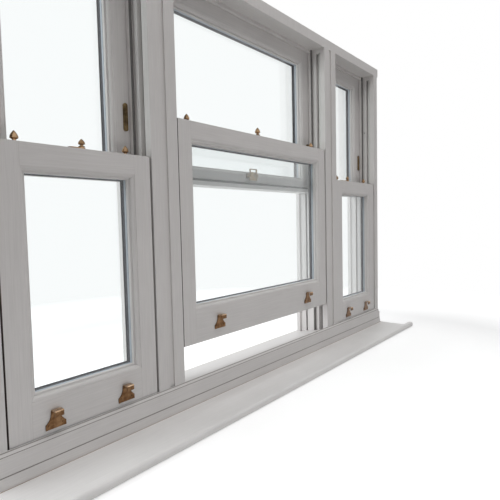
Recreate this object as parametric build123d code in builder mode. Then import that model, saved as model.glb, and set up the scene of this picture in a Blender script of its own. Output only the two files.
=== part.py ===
from build123d import *
import os

os.makedirs("parts", exist_ok=True)

# A sash window with three lights in one frame and two sliding sashes in each light.
# X runs along the window and Y away from the room, Z is up, all sizes are in millimetres.
# Y = 0 is the room face of the frame and Z = 0 the underside of the sill and window board.

# Frame
CENTRE_OPENING = 884.0
SIDE_OPENING = 423.0
MULLION_W = 100.0
JAMB_W = 50.0
PLASTER = 15.0          # the frame's ends go this far behind the plaster of the reveal
FRAME_DEPTH = 160.0
HEAD_T = 40.0
HEAD_GAP = 6.0          # above the closed upper sashes
INNER_BEAD_W = 40.0
INNER_BEAD_T = 22.0
STRIP_RECESS = 5.0      # how far the posts lie back between the inner beads
POST_HALF_STRIP = MULLION_W / 2 - INNER_BEAD_W

# Sill, its trim and the window board
SEAT_Z = 78.0           # top of the sill under the lower sashes
SEAT_W = 62.0           # level part of the sill, the rest slopes
SILL_FRONT = 5.0        # how far the sill comes forward of the frame's room face
SILL_NOSE_Y = 190.0
SILL_NOSE_TOP = 52.0
SILL_NOSE_T = 32.0
SILL_BODY_Y = 150.0
DRIP_W = 6.0
DRIP_INSET = 10.0
BEAD_TOP_Z = 100.0      # top of the sill bead, in front of the sash bottoms
BEAD_CHAMFER_Y = 9.0
BEAD_CHAMFER_Z = 7.5
BEAD_FOOT_Y = 14.0
BEAD_FOOT_Z = 50.0
SCOTIA_TOP_Y = 15.5
SCOTIA_FOOT_Y = 19.0
TRIM_SHORT = 8.0        # the trim stops this far short of the reveals
BOARD_T = 24.0
BOARD_FRONT = 168.0
BOARD_WALL = 146.0      # the horns lie in front of this line
HORN = 77.0             # past the reveal
NOSING_R = 9.0

# Sashes
LOWER_H = 698.0
UPPER_H = 635.0
SEAT_GAP = 2.0
MEETING_OVERLAP = 62.0
CENTRE_RAISE = 127.0    # the middle lower sash stands open
SIDE_GAP = 5.0
SASH_T = 57.0
LOWER_FACE_Y = 3.0
STILE_W = 53.0
LOWER_TOP_RAIL_H = 53.0
LOWER_BOTTOM_RAIL_H = 106.0
UPPER_TOP_RAIL_H = 52.0
MEETING_RAIL_H = 51.0

# Moulding round the glass: a small step, an ovolo and a ledge
MOULD_W = 15.0
MOULD_STEP = 2.0
OVOLO_W = 10.0
OVOLO_D = 11.0

# Double glazing in a rebate that is open to the outside, held by mitred beads
GLASS_SEAT_D = 22.0
PANE_T = 4.0
CAVITY = 16.0
REBATE_BACK = 2.0       # the rebate goes this far behind the moulding's root
GLASS_EDGE_GAP = 3.0
SPACER_BACK = 0.5       # behind the sightline
GLAZING_BEAD_NOSE = 4.0

# Beads between and behind the sashes
PARTING_Y = 66.0
PARTING_T = 14.0
PARTING_PROJECTION = 11.0
PARTING_HOUSING = 8.0
UPPER_SASH_GAP = 2.0
OUTER_BEAD_GAP = 4.0
OUTER_BEAD_PROJECTION = 10.0
PILE_T = 5.0
PILE_W = 6.0

# Balances: a tube hangs in the groove of the post, its rod stands on a shoe beside the sash
GROOVE_DEEP = 30.0
LOWER_GROOVE_W = 20.0
LOWER_GROOVE_IN = 31.0  # centre of the groove behind the sash's room face
UPPER_MOUTH_W = 8.0
UPPER_MOUTH_DEEP = 6.0
UPPER_POCKET_W = 18.0
BALANCE_AXIS_DEEP = 18.5
TUBE_R = 7.5
TUBE_BORE_R = 5.0
TUBE_GAP = 3.0          # from the upper sashes' shoes to the tubes
HANGER_H = 20.0
ROD_R = 3.5
ROD_ENTRY = 10.0        # rod inside the tube with the lower sash closed
ROD_TOP_GAP = 48.0      # upper rods end this far under the hangers, sash closed
SHOE_LIFT = 4.0         # above the sash's bottom
SHOE_H = 34.0
SHOE_CLEAR = 0.5
SHOE_FRONT = 7.0
SHOE_BACK = 28.0
PIVOT_H = 6.0
PIVOT_LIFT = 12.0
PIVOT_IN_STILE = 24.0
PIVOT_IN_SHOE = 10.0
LOWER_PIVOT_W = 12.0
UPPER_PIVOT_W = 6.0
GUIDE_H = 12.0
GUIDE_PLAY = 1.0

# Meeting rail of the upper sash
LEDGE_OUT = 18.0
LEDGE_H = 14.0
LEDGE_INSET = 8.0
BRUSH_H = 8.0
BRUSH_T = 10.0
BRUSH_RAISE = 1.0

# Lifts
LIFT_W = 50.0
LIFT_NECK_W = 22.0
LIFT_H = 47.0
LIFT_T = 3.0
LIFT_RAISE = 30.0
LIFT_HOOK_OUT = 22.0
LIFT_HOOK_R = 7.0
LIFT_FOOT_H = 12.0      # full width up to here
LIFT_WAIST_Z = 23.5
LIFT_WAIST_W = 29.0
LIFT_NECK_Z = 37.5
LIFT_SCREW_Z = 9.5
LIFT_TIP_DROP = 6.0     # the hook's tip below its bend
CENTRE_LIFT_INSET = 161.0
SIDE_LIFT_INSET = 107.0

# Fastener on the lower sash and its keep on the upper one
FASTENER_PLATE_L = 60.0
FASTENER_PLATE_W = 34.0
FASTENER_PLATE_T = 2.5
FASTENER_IN = 38.0      # pivot behind the sash's room face
SIDE_FASTENER_IN = 185.0    # in the side lights, from the sash's end at the mullion
FASTENER_BOSS_R = 11.0
FASTENER_BOSS_H = 2.5
FASTENER_POST_R = 4.0
FASTENER_FIT = 0.05     # radial play of the arm on its post
ARM_T = 4.0
ARM_REACH = 31.0
ARM_TIP_W = 8.0
ARM_HUB_R = 9.0
FASTENER_CAP_H = 2.0
ACORN_R = 10.0
ACORN_H = 29.0
SIDE_ACORN_R = 8.5
SIDE_ACORN_H = 20.0
KEEP_W = 44.0
KEEP_WING_W = 60.0
KEEP_BELOW = 31.0       # below the lower sash's top
KEEP_ABOVE = 14.0
KEEP_WING_LOW = 20.0
KEEP_WING_H = 16.0
KEEP_OUT = 14.0         # from the sash face to the loop's room side
KEEP_LOOP_T = 3.5
KEEP_HOLE_W = 33.0
KEEP_HOLE_H = 9.0
KEEP_WING_OUT = 12.5    # from the sash face to the wings' front

# Tilt latches in the top corners of the lower sashes
LATCH_IN = 66.0         # knob from the sash's end
SIDE_LATCH_IN = 58.0
LATCH_BOLT_W = 10.0
LATCH_BOLT_H = 10.0
LATCH_COVER = 2.0       # timber left over the bolt
LATCH_THROW = 14.0
LATCH_REACH = 7.0       # bolt inside the post's groove
LATCH_PLAY = 0.1
LATCH_TAIL = 12.0
LATCH_STEM_R = 3.0
LATCH_PLATE_L = 54.0
LATCH_PLATE_W = 24.0
LATCH_PLATE_T = 1.5
LATCH_SLOT_PLAY = 0.5
LATCH_KNOB_R = 9.0
LATCH_KNOB_H = 26.0

# Restrictor on the right-hand stile of each upper sash
RESTRICTOR_L = 80.0
RESTRICTOR_W = 14.0
RESTRICTOR_T = 5.0
RESTRICTOR_RAISE = 141.0
RESTRICTOR_INSET = 20.0
CATCH_L = 30.0
CATCH_W = 7.0
CATCH_T = 4.0
CATCH_PLAY = 0.2
CATCH_PIVOT_R = 1.5
CATCH_FIT = 0.05
CATCH_PIVOT_OUT = 2.2   # from the plate's face to the pivot
CATCH_STUB = 2.0

# Screws and fixing holes
SCREW_R = 2.6
SCREW_H = 1.2
SCREW_SLOT = 0.8
SCREW_IN = 7.8          # from a plate's end to its screw
FIXING_R = 4.0
FIXING_LOW = 260.0
FIXING_SPACING = 800.0
FIXING_Y = 55.0

# Positions that follow from the sizes above
MULLION_IN = CENTRE_OPENING / 2
MULLION_OUT = MULLION_IN + MULLION_W
JAMB_IN = MULLION_OUT + SIDE_OPENING
FRAME_HALF = JAMB_IN + JAMB_W
LOWER_Z = SEAT_Z + SEAT_GAP
LOWER_TOP_Z = LOWER_Z + LOWER_H
UPPER_Z = LOWER_TOP_Z - MEETING_OVERLAP
SOFFIT_Z = UPPER_Z + UPPER_H + HEAD_GAP
FRAME_TOP_Z = SOFFIT_Z + HEAD_T
UPPER_FACE_Y = PARTING_Y + PARTING_T + UPPER_SASH_GAP
OUTER_BEAD_Y = UPPER_FACE_Y + SASH_T + OUTER_BEAD_GAP
LOWER_GROOVE_Y = LOWER_FACE_Y + LOWER_GROOVE_IN
UPPER_GROOVE_Y = UPPER_FACE_Y + SASH_T / 2
TUBE_TOP_Z = SOFFIT_Z - HANGER_H
TUBE_FOOT_Z = UPPER_Z + SHOE_LIFT + SHOE_H + TUBE_GAP
NOSE_FOOT_Z = SILL_NOSE_TOP - SILL_NOSE_T
SASH_BACK_GLASS = GLASS_SEAT_D + 2 * PANE_T + CAVITY

# Left and right edge of each opening
OPENINGS = {
    "left": (-JAMB_IN, -MULLION_OUT),
    "centre": (-MULLION_IN, MULLION_IN),
    "right": (MULLION_OUT, JAMB_IN),
}
# Each post face that looks into an opening, with the direction of the opening from it
FACES = [(left, 1) for left, _ in OPENINGS.values()] + [(right, -1) for _, right in OPENINGS.values()]


def cuboid(x, y, z, mode=Mode.ADD):
    """Adds to the open builder, or cuts from it, the box between three pairs of coordinates."""
    with Locations(((x[0] + x[1]) / 2, (y[0] + y[1]) / 2, (z[0] + z[1]) / 2)):
        Box(abs(x[1] - x[0]), abs(y[1] - y[0]), abs(z[1] - z[0]), mode=mode)


def block(x, y, z):
    """A piece of its own in the shape of a box."""
    with BuildPart() as piece:
        cuboid(x, y, z)
    return piece.part


def bar_along_x(outline, x):
    """A straight bar with its outline given in Y and Z."""
    with BuildPart() as bar:
        with BuildSketch(Plane.YZ.offset(x[0])):
            Polygon(*outline, align=None)
        extrude(amount=x[1] - x[0])
    return bar.part


def save(name, pieces):
    """Writes one node of the part: a single solid, or separate solids that touch."""
    node = pieces[0] if len(pieces) == 1 else Compound(children=pieces)
    node.label = name
    export_step(node, "parts/" + name + ".step")


def screw(x, y, z, turn=(0, 0, 0)):
    """Slotted screw head, seated with its flat side on a plate; it points up before it is turned."""
    with BuildPart() as head:
        Cylinder(SCREW_R, SCREW_H, align=(Align.CENTER, Align.CENTER, Align.MIN))
        with Locations((0, 0, SCREW_H)):
            Box(2 * SCREW_R, SCREW_SLOT, SCREW_H, mode=Mode.SUBTRACT)
    return head.part.moved(Location((x, y, z), turn))


def acorn(radius, height):
    """Turned knob: collar, neck and an acorn that runs out to a blunt tip."""
    with BuildPart() as knob:
        with BuildSketch(Plane.XZ):
            with BuildLine():
                Polyline((0, 0), (radius * 0.95, 0), (radius * 0.95, height * 0.08), (radius * 0.5, height * 0.13),
                         (radius * 0.5, height * 0.24), (radius, height * 0.34))
                Spline((radius, height * 0.34), (radius * 0.98, height * 0.5), (radius * 0.72, height * 0.72),
                       (radius * 0.3, height * 0.92))
                Polyline((radius * 0.3, height * 0.92), (radius * 0.12, height), (0, height), (0, 0))
            make_face()
        revolve(axis=Axis.Z)
    return knob.part


# Sill and the trim on its room side

sill_outline = [
    (-SILL_FRONT, 0), (SILL_BODY_Y, 0), (SILL_BODY_Y, NOSE_FOOT_Z), (SILL_NOSE_Y, NOSE_FOOT_Z),
    (SILL_NOSE_Y, SILL_NOSE_TOP), (SEAT_W, SEAT_Z), (-SILL_FRONT, SEAT_Z),
]
sill_blank = bar_along_x(sill_outline, (-FRAME_HALF, FRAME_HALF))
with BuildPart() as sill:
    add(sill_blank)
    drip_y = SILL_NOSE_Y - DRIP_INSET
    cuboid((-FRAME_HALF, FRAME_HALF), (drip_y - DRIP_W, drip_y), (NOSE_FOOT_Z, NOSE_FOOT_Z + DRIP_W), Mode.SUBTRACT)
save("sill", [sill.part])

reveal = FRAME_HALF - PLASTER
trim_x = (TRIM_SHORT - reveal, reveal - TRIM_SHORT)
bead_outline = [
    (0, BEAD_TOP_Z), (-BEAD_CHAMFER_Y, BEAD_TOP_Z - BEAD_CHAMFER_Z), (-BEAD_FOOT_Y, BEAD_FOOT_Z),
    (-SILL_FRONT, BEAD_FOOT_Z), (-SILL_FRONT, SEAT_Z), (0, SEAT_Z),
]
scotia_outline = [
    (-SILL_FRONT, BEAD_FOOT_Z), (-SCOTIA_TOP_Y, BEAD_FOOT_Z), (-SCOTIA_FOOT_Y, BOARD_T), (-SILL_FRONT, BOARD_T),
]
save("sill_trim", [bar_along_x(bead_outline, trim_x), bar_along_x(scotia_outline, trim_x)])

with BuildPart() as window_board:
    with BuildSketch():
        with BuildLine():
            Polyline(
                (-reveal, -SILL_FRONT), (-reveal, -BOARD_WALL), (-reveal - HORN, -BOARD_WALL),
                (-reveal - HORN, -BOARD_FRONT), (reveal + HORN, -BOARD_FRONT),
                (reveal + HORN, -BOARD_WALL), (reveal, -BOARD_WALL), (reveal, -SILL_FRONT), close=True,
            )
        make_face()
    extrude(amount=BOARD_T)
    front_edges = window_board.edges().filter_by(Axis.X).group_by(Axis.Y)[0]
    fillet(front_edges, NOSING_R)
save("window_board", [window_board.part])


# Jambs, mullions and head

def post(x, faces, strip, fixings=False):
    """Post from the sill to the head.

    x is its left and right side, faces the sides that look into an opening as (position, direction)
    pairs, and strip the part that shows between the inner beads.
    """
    post_z = (NOSE_FOOT_Z, SOFFIT_Z)
    with BuildPart() as piece:
        cuboid(x, (INNER_BEAD_T, FRAME_DEPTH), post_z)
        cuboid(strip, (STRIP_RECESS, INNER_BEAD_T), post_z)
        for face, side in faces:
            half = LOWER_GROOVE_W / 2
            cuboid((face, face - side * GROOVE_DEEP), (LOWER_GROOVE_Y - half, LOWER_GROOVE_Y + half),
                   post_z, Mode.SUBTRACT)
            half = UPPER_MOUTH_W / 2
            cuboid((face, face - side * UPPER_MOUTH_DEEP), (UPPER_GROOVE_Y - half, UPPER_GROOVE_Y + half),
                   post_z, Mode.SUBTRACT)
            half = UPPER_POCKET_W / 2
            cuboid((face - side * UPPER_MOUTH_DEEP, face - side * GROOVE_DEEP),
                   (UPPER_GROOVE_Y - half, UPPER_GROOVE_Y + half), post_z, Mode.SUBTRACT)
            cuboid((face, face - side * PARTING_HOUSING), (PARTING_Y, PARTING_Y + PARTING_T), post_z, Mode.SUBTRACT)
        add(sill_blank, mode=Mode.SUBTRACT)
        if fixings:
            for z in (FIXING_LOW, FIXING_LOW + FIXING_SPACING):
                with Locations(Location(((x[0] + x[1]) / 2, FIXING_Y, z), (0, 90, 0))):
                    Cylinder(FIXING_R, x[1] - x[0], mode=Mode.SUBTRACT)
    return piece.part


save("jamb_left", [post((-FRAME_HALF, -JAMB_IN), [(-JAMB_IN, 1)], (-FRAME_HALF, -JAMB_IN - INNER_BEAD_W), True)])
save("jamb_right", [post((JAMB_IN, FRAME_HALF), [(JAMB_IN, -1)], (JAMB_IN + INNER_BEAD_W, FRAME_HALF), True)])
for name, middle in (("left", -MULLION_IN - MULLION_W / 2), ("right", MULLION_IN + MULLION_W / 2)):
    sides = (middle - MULLION_W / 2, middle + MULLION_W / 2)
    strip = (middle - POST_HALF_STRIP, middle + POST_HALF_STRIP)
    save("mullion_" + name, [post(sides, [(sides[0], -1), (sides[1], 1)], strip)])

with BuildPart() as head:
    cuboid((-FRAME_HALF, FRAME_HALF), (INNER_BEAD_T, FRAME_DEPTH), (SOFFIT_Z, FRAME_TOP_Z))
    for left, right in OPENINGS.values():
        cuboid((left, right), (PARTING_Y, PARTING_Y + PARTING_T), (SOFFIT_Z, SOFFIT_Z + PARTING_HOUSING), Mode.SUBTRACT)
save("head", [head.part])


# Beads of the frame and the pile on the parting beads

def upright(x, y):
    """Bead that stands on the sill and reaches the head."""
    with BuildPart() as bead:
        cuboid(x, y, (NOSE_FOOT_Z, SOFFIT_Z))
        add(sill_blank, mode=Mode.SUBTRACT)
    return bead.part


inner_beads = [upright((face, face - side * INNER_BEAD_W), (0, INNER_BEAD_T)) for face, side in FACES]
inner_beads.append(block((-FRAME_HALF, FRAME_HALF), (0, INNER_BEAD_T), (SOFFIT_Z, FRAME_TOP_Z)))
save("inner_beads", inner_beads)

parting_y = (PARTING_Y, PARTING_Y + PARTING_T)
outer_y = (OUTER_BEAD_Y, FRAME_DEPTH)
pile_y = (PARTING_Y - PILE_T, PARTING_Y)
stop_beads = []
pile_strips = []
for face, side in FACES:
    stop_beads.append(upright((face - side * PARTING_HOUSING, face + side * PARTING_PROJECTION), parting_y))
    stop_beads.append(upright((face, face + side * OUTER_BEAD_PROJECTION), outer_y))
    pile_edge = face + side * PARTING_PROJECTION
    pile_strips.append(upright((pile_edge, pile_edge - side * PILE_W), pile_y))
for left, right in OPENINGS.values():
    parting_z = (SOFFIT_Z - PARTING_PROJECTION, SOFFIT_Z + PARTING_HOUSING)
    stop_beads.append(block((left + PARTING_PROJECTION, right - PARTING_PROJECTION), parting_y, parting_z))
    outer_z = (SOFFIT_Z - OUTER_BEAD_PROJECTION, SOFFIT_Z)
    stop_beads.append(block((left + OUTER_BEAD_PROJECTION, right - OUTER_BEAD_PROJECTION), outer_y, outer_z))
save("stop_beads", stop_beads)
save("pile_strips", pile_strips)


# Balance tubes with the hangers that hold them under the head

balance_tubes = []
for face, side in FACES:
    for groove_y, width, front in (
        (LOWER_GROOVE_Y, LOWER_GROOVE_W, 0.0),
        (UPPER_GROOVE_Y, UPPER_POCKET_W, UPPER_MOUTH_DEEP),
    ):
        hanger_x = (face - side * front, face - side * GROOVE_DEEP)
        hanger_z = (TUBE_TOP_Z, SOFFIT_Z)
        balance_tubes.append(block(hanger_x, (groove_y - width / 2, groove_y + width / 2), hanger_z))
        with BuildPart() as tube:
            with BuildSketch(Plane.XY.offset(TUBE_FOOT_Z)):
                with Locations((face - side * BALANCE_AXIS_DEEP, groove_y)):
                    Circle(TUBE_R)
                    Circle(TUBE_BORE_R, mode=Mode.SUBTRACT)
            extrude(amount=TUBE_TOP_Z - TUBE_FOOT_Z)
        balance_tubes.append(tube.part)
save("balance_tubes", balance_tubes)


# Sash members. Each sash is built with its left bottom corner at the origin and its room face at Y = 0.

def mitred(section, length):
    """Bar along X with mitred ends; section(w, d) runs away from the member's edge and into the depth."""
    low = min(w for w, d in section)
    high = max(w for w, d in section)
    deep = max(d for w, d in section)
    with BuildPart() as bar:
        with BuildSketch(Plane.YZ.offset(low)):
            Polygon(*[(d, w) for w, d in section], align=None)
        extrude(amount=length - 2 * low)
        with BuildSketch(Plane.XZ):
            Polygon((low, low), (length - low, low), (length - high, high), (high, high), align=None)
        extrude(amount=-deep, mode=Mode.INTERSECT)
    return bar.part


def mitred_moulding(length):
    """Ovolo moulding along X with mitred ends, its root on the member's edge."""
    ledge = MOULD_STEP + OVOLO_D
    with BuildPart() as bar:
        with BuildSketch(Plane.YZ):
            with BuildLine():
                ThreePointArc(
                    (MOULD_STEP, 0), (MOULD_STEP + 0.3 * OVOLO_D, 0.7 * OVOLO_W), (ledge, OVOLO_W))
                Polyline(
                    (ledge, OVOLO_W), (ledge, MOULD_W), (GLASS_SEAT_D, MOULD_W), (GLASS_SEAT_D, 0), (MOULD_STEP, 0))
            make_face()
        extrude(amount=length)
        with BuildSketch(Plane.XZ):
            Polygon((0, 0), (length, 0), (length - MOULD_W, MOULD_W), (MOULD_W, MOULD_W), align=None)
        extrude(amount=-GLASS_SEAT_D, mode=Mode.INTERSECT)
    return bar.part


def on_left(bar, x, z):
    return bar.moved(Location((x, 0, z), (0, 90, 0)))


def on_right(bar, x, z):
    return bar.moved(Location((x, 0, z), (0, -90, 0)))


def on_top(bar, x, z):
    return bar.moved(Location((x, 0, z), (0, 180, 0)))


def on_bottom(bar, x, z):
    return bar.moved(Location((x, 0, z)))


def sash_timber(width, height, bottom_rail, top_rail, mortises, ledge=None):
    """Stiles and rails of a sash; mortises are the boxes cut for its fittings."""
    inner = (STILE_W, width - STILE_W)
    daylight = (bottom_rail, height - top_rail)
    side_moulding = mitred_moulding(daylight[1] - daylight[0])
    rail_moulding = mitred_moulding(inner[1] - inner[0])
    rebate_y = (GLASS_SEAT_D, SASH_T)
    rebate_z = (daylight[0] - REBATE_BACK, daylight[1] + REBATE_BACK)
    with BuildPart() as left_stile:
        cuboid((0, STILE_W), (0, SASH_T), (0, height))
        cuboid((STILE_W - REBATE_BACK, STILE_W), rebate_y, rebate_z, Mode.SUBTRACT)
        add(on_left(side_moulding, inner[0], daylight[1]))
        for mortise in mortises:
            cuboid(*mortise, Mode.SUBTRACT)
    with BuildPart() as right_stile:
        cuboid((inner[1], width), (0, SASH_T), (0, height))
        cuboid((inner[1], inner[1] + REBATE_BACK), rebate_y, rebate_z, Mode.SUBTRACT)
        add(on_right(side_moulding, inner[1], daylight[0]))
        for mortise in mortises:
            cuboid(*mortise, Mode.SUBTRACT)
    with BuildPart() as lower_rail:
        cuboid(inner, (0, SASH_T), (0, bottom_rail))
        cuboid(inner, rebate_y, (daylight[0] - REBATE_BACK, daylight[0]), Mode.SUBTRACT)
        add(on_bottom(rail_moulding, inner[0], daylight[0]))
        if ledge:
            cuboid(*ledge)
    with BuildPart() as upper_rail:
        cuboid(inner, (0, SASH_T), (height - top_rail, height))
        cuboid(inner, rebate_y, (daylight[1], daylight[1] + REBATE_BACK), Mode.SUBTRACT)
        add(on_top(rail_moulding, inner[1], daylight[1]))
        for mortise in mortises:
            cuboid(*mortise, Mode.SUBTRACT)
    return [left_stile.part, right_stile.part], [lower_rail.part, upper_rail.part]


def glazing(width, height, bottom_rail, top_rail):
    """Two panes, the four spacer bars between them and the four beads that hold them from the outside."""
    reach = REBATE_BACK - GLASS_EDGE_GAP
    x = (STILE_W - reach, width - STILE_W + reach)
    z = (bottom_rail - reach, height - top_rail + reach)
    room_pane = block(x, (GLASS_SEAT_D, GLASS_SEAT_D + PANE_T), z)
    outer_pane = block(x, (SASH_BACK_GLASS - PANE_T, SASH_BACK_GLASS), z)
    cavity_y = (GLASS_SEAT_D + PANE_T, SASH_BACK_GLASS - PANE_T)
    sight = MOULD_W - SPACER_BACK
    clear_x = (STILE_W + sight, width - STILE_W - sight)
    clear_z = (bottom_rail + sight, height - top_rail - sight)
    spacers = [
        block((x[0], clear_x[0]), cavity_y, z), block((clear_x[1], x[1]), cavity_y, z),
        block(clear_x, cavity_y, (z[0], clear_z[0])), block(clear_x, cavity_y, (clear_z[1], z[1])),
    ]
    section = [
        (-REBATE_BACK, SASH_BACK_GLASS), (MOULD_W, SASH_BACK_GLASS), (MOULD_W, SASH_BACK_GLASS + GLAZING_BEAD_NOSE),
        (GLAZING_BEAD_NOSE, SASH_T), (-REBATE_BACK, SASH_T),
    ]
    inner = (STILE_W, width - STILE_W)
    daylight = (bottom_rail, height - top_rail)
    side_bead = mitred(section, daylight[1] - daylight[0])
    rail_bead = mitred(section, inner[1] - inner[0])
    return [
        room_pane, outer_pane, *spacers,
        on_left(side_bead, inner[0], daylight[1]), on_right(side_bead, inner[1], daylight[0]),
        on_bottom(rail_bead, inner[0], daylight[0]), on_top(rail_bead, inner[1], daylight[1]),
    ]


def balance(width, height, in_depth, pocket_w, pivot_w, rod_length, guide):
    """Shoes, rods and pivot bars at both ends of a sash, and the guides at its top if it has them."""
    pieces = []
    shoe_z = (SHOE_LIFT, SHOE_LIFT + SHOE_H)
    shoe_y = (in_depth - pocket_w / 2 + SHOE_CLEAR, in_depth + pocket_w / 2 - SHOE_CLEAR)
    pivot_y = (in_depth - pivot_w / 2, in_depth + pivot_w / 2)
    pivot_z = (PIVOT_LIFT, PIVOT_LIFT + PIVOT_H)
    for edge, side in ((0.0, 1), (width, -1)):
        face = edge - side * SIDE_GAP
        pivot_x = (edge + side * PIVOT_IN_STILE, face - side * (SHOE_FRONT + PIVOT_IN_SHOE))
        with BuildPart() as shoe:
            cuboid((face - side * SHOE_FRONT, face - side * SHOE_BACK), shoe_y, shoe_z)
            cuboid((face, pivot_x[1]), pivot_y, pivot_z, Mode.SUBTRACT)
        with BuildPart() as rod:
            with Locations((face - side * BALANCE_AXIS_DEEP, in_depth, shoe_z[1])):
                Cylinder(ROD_R, rod_length, align=(Align.CENTER, Align.CENTER, Align.MIN))
        pieces += [shoe.part, rod.part, block(pivot_x, pivot_y, pivot_z)]
        if guide:
            pieces.append(block(*guide_box(edge, side, height)))
    return pieces


def pivot_mortise(edge, side, in_depth, pivot_w):
    """Mortise in a stile for the pivot bar of its balance shoe."""
    return ((edge, edge + side * PIVOT_IN_STILE), (in_depth - pivot_w / 2, in_depth + pivot_w / 2),
            (PIVOT_LIFT, PIVOT_LIFT + PIVOT_H))


def guide_box(edge, side, height):
    """Guide at the top of an upper sash, half in the stile and half in the mouth of the groove."""
    return ((edge + side * UPPER_PIVOT_W, edge - side * (SIDE_GAP + UPPER_MOUTH_DEEP - GUIDE_PLAY)),
            (SASH_T / 2 - UPPER_PIVOT_W / 2, SASH_T / 2 + UPPER_PIVOT_W / 2),
            (height - 2 * GUIDE_H, height - GUIDE_H))


# Fittings of the lower sashes

def lift(x):
    """Hook lift: a waisted plate, a hook that curls out from its top, and two screws."""
    foot = LIFT_W / 2
    neck = LIFT_NECK_W / 2
    waist = LIFT_WAIST_W / 2
    bend = LIFT_H - LIFT_HOOK_R
    inner = LIFT_HOOK_R - LIFT_T
    tip = -LIFT_HOOK_OUT
    under = bend + inner
    corner = 1 - 0.5 ** 0.5    # how far the middle of a quarter circle lies inside its corner
    with BuildPart() as hook:
        with BuildSketch(Plane.XZ):
            with BuildLine():
                Polyline((-foot, LIFT_FOOT_H), (-foot, 0), (foot, 0), (foot, LIFT_FOOT_H))
                ThreePointArc((foot, LIFT_FOOT_H), (waist, LIFT_WAIST_Z), (neck, LIFT_NECK_Z))
                Polyline((neck, LIFT_NECK_Z), (neck, bend), (-neck, bend), (-neck, LIFT_NECK_Z))
                ThreePointArc((-neck, LIFT_NECK_Z), (-waist, LIFT_WAIST_Z), (-foot, LIFT_FOOT_H))
            make_face()
        extrude(amount=LIFT_T)
        with BuildSketch(Plane.YZ.offset(-neck)):
            with BuildLine():
                Line((0, bend), (-LIFT_T, bend))
                ThreePointArc((-LIFT_T, bend), (-LIFT_T - corner * inner, under - corner * inner),
                              (-LIFT_HOOK_R, under))
                Polyline((-LIFT_HOOK_R, under), (tip + LIFT_T, under), (tip + LIFT_T, bend - LIFT_TIP_DROP))
                ThreePointArc((tip + LIFT_T, bend - LIFT_TIP_DROP),
                              (tip + LIFT_T / 2, bend - LIFT_TIP_DROP - LIFT_T / 2), (tip, bend - LIFT_TIP_DROP))
                Line((tip, bend - LIFT_TIP_DROP), (tip, under))
                ThreePointArc((tip, under), (tip + corner * LIFT_T, LIFT_H - corner * LIFT_T),
                              (tip + LIFT_T, LIFT_H))
                Line((tip + LIFT_T, LIFT_H), (-LIFT_HOOK_R, LIFT_H))
                ThreePointArc((-LIFT_HOOK_R, LIFT_H), (-corner * LIFT_HOOK_R, LIFT_H - corner * LIFT_HOOK_R), (0, bend))
            make_face()
        extrude(amount=LIFT_NECK_W)
    pieces = [hook.part.moved(Location((x, 0, LIFT_RAISE)))]
    for screw_x in (x - foot + SCREW_IN, x + foot - SCREW_IN):
        pieces.append(screw(screw_x, -LIFT_T, LIFT_RAISE + LIFT_SCREW_Z, (90, 0, 0)))
    return pieces


def fastener_base(x, height):
    """Plate on the meeting rail with a boss and the post that the arm turns on."""
    with BuildPart() as base:
        with Locations((x, FASTENER_IN, height)):
            Box(FASTENER_PLATE_L, FASTENER_PLATE_W, FASTENER_PLATE_T, align=(Align.CENTER, Align.CENTER, Align.MIN))
        fillet(base.edges().filter_by(Axis.Z), FASTENER_PLATE_W / 4)
        with Locations((x, FASTENER_IN, height + FASTENER_PLATE_T)):
            Cylinder(FASTENER_BOSS_R, FASTENER_BOSS_H, align=(Align.CENTER, Align.CENTER, Align.MIN))
            Cylinder(FASTENER_POST_R, FASTENER_BOSS_H + ARM_T, align=(Align.CENTER, Align.CENTER, Align.MIN))
    top = height + FASTENER_PLATE_T
    reach = FASTENER_PLATE_L / 2 - SCREW_IN
    return [base.part, screw(x - reach, FASTENER_IN, top), screw(x + reach, FASTENER_IN, top)]


def fastener_arm(x, height, knob_r, knob_h):
    """Swinging arm in its open place along the rail, with the acorn that turns it."""
    knob = acorn(knob_r, knob_h)
    under = height + FASTENER_PLATE_T + FASTENER_BOSS_H
    with BuildPart() as arm:
        with BuildSketch():
            Circle(ARM_HUB_R)
            with Locations((-(ARM_REACH - ARM_TIP_W / 2) / 2, 0)):
                Rectangle(ARM_REACH - ARM_TIP_W / 2, ARM_TIP_W)
            with Locations((-(ARM_REACH - ARM_TIP_W / 2), 0)):
                Circle(ARM_TIP_W / 2)
        extrude(amount=ARM_T)
        with Locations((0, 0, ARM_T)):
            Cylinder(FASTENER_POST_R + SCREW_R, FASTENER_CAP_H, align=(Align.CENTER, Align.CENTER, Align.MIN))
        add(knob.moved(Location((0, 0, ARM_T + FASTENER_CAP_H))))
        Cylinder(FASTENER_POST_R + FASTENER_FIT, ARM_T + FASTENER_FIT * 4,
                 align=(Align.CENTER, Align.CENTER, Align.MIN), mode=Mode.SUBTRACT)
    return arm.part.moved(Location((x, FASTENER_IN, under)))


def latch_plate(x, side, height):
    """Slotted plate over the bolt of a tilt latch, with its two screws."""
    slot_w = 2 * (LATCH_STEM_R + LATCH_SLOT_PLAY)
    middle = x + side * LATCH_THROW / 2
    with BuildPart() as plate:
        with BuildSketch(Plane.XY.offset(height)):
            with Locations((middle, LOWER_GROOVE_IN)):
                RectangleRounded(LATCH_PLATE_L, LATCH_PLATE_W, LATCH_PLATE_W / 4)
                SlotOverall(LATCH_THROW + slot_w, slot_w, mode=Mode.SUBTRACT)
        extrude(amount=LATCH_PLATE_T)
    reach = LATCH_PLATE_L / 2 - SCREW_IN
    top = height + LATCH_PLATE_T
    return [plate.part, screw(middle - reach, LOWER_GROOVE_IN, top), screw(middle + reach, LOWER_GROOVE_IN, top)]


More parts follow.
